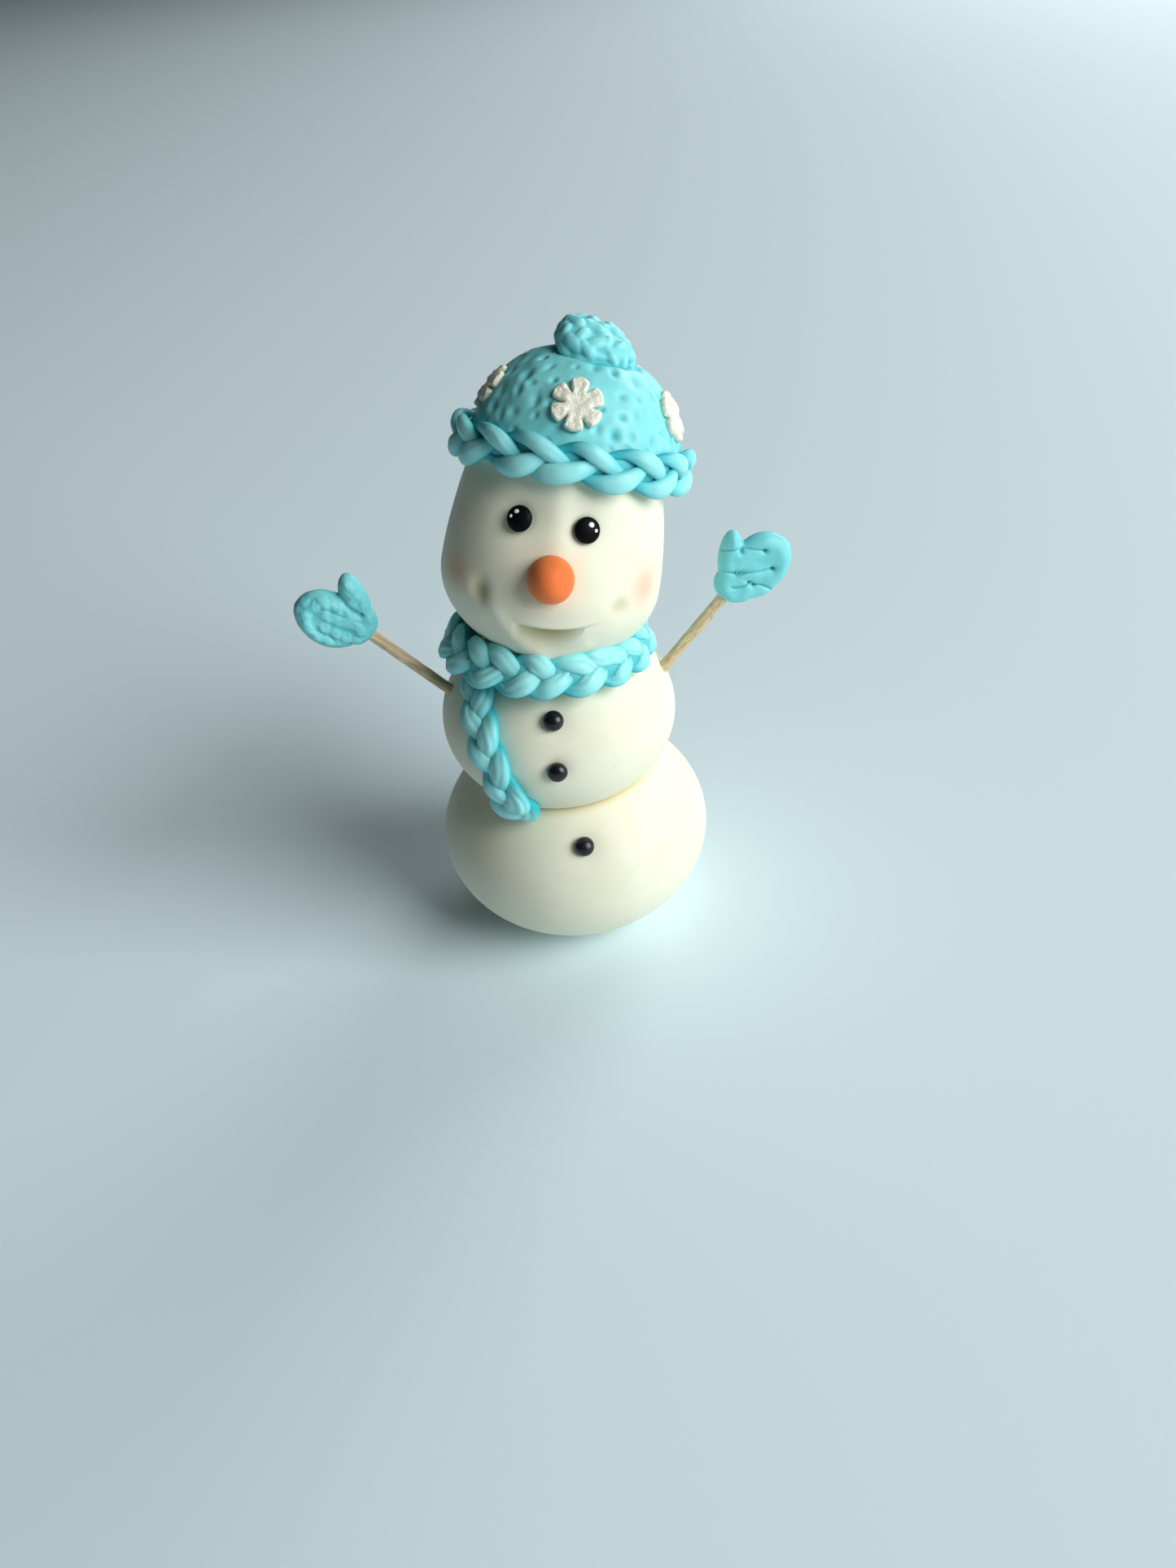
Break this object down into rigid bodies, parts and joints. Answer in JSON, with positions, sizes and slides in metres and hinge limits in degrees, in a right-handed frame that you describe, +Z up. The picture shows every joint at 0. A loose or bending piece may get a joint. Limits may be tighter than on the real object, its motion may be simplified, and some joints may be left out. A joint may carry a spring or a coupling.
{
  "type": "fondant snowman cake topper",
  "caption": "Sugar-paste snowman cake topper: stacked flattened balls with a leaning head, knitted-look hat, plaited scarf, and mittens on wooden picks.",
  "frame": {"origin": "centre of the flat foot under the lower ball", "axes": "+Z up through the balls, -Y towards the side the buttons and face look to, +X to the right as seen from the front"},
  "size_m": [0.0892, 0.0532, 0.1172],
  "materials": {
    "white_paste": "satin sugar paste, warm white, slightly translucent",
    "turquoise_paste": "satin sugar paste, pastel turquoise",
    "sugar_white": "pearl white sugar paste with a fine glittering grain",
    "black_paste": "smooth black sugar paste, soft gloss",
    "orange_paste": "matte orange sugar paste",
    "pick_wood": "raw birch cocktail pick"
  },
  "bodies": {
    "root": {"lower_ball": "white_paste", "middle_ball": "white_paste", "head": "white_paste", "hat_crown": "turquoise_paste", "hat_brim": "turquoise_paste", "pompom": "turquoise_paste", "snowflake_1": "sugar_white", "snowflake_2": "sugar_white", "snowflake_3": "sugar_white", "snowflake_4": "sugar_white", "snowflake_5": "sugar_white", "eye_left": "black_paste", "eye_right": "black_paste", "nose": "orange_paste", "scarf_wrap": "turquoise_paste", "scarf_tail": "turquoise_paste", "button_1": "black_paste", "button_2": "black_paste", "button_3": "black_paste", "arm_left": "pick_wood", "arm_right": "pick_wood", "mitten_left": "turquoise_paste", "mitten_right": "turquoise_paste"}
  },
  "joints": []
}
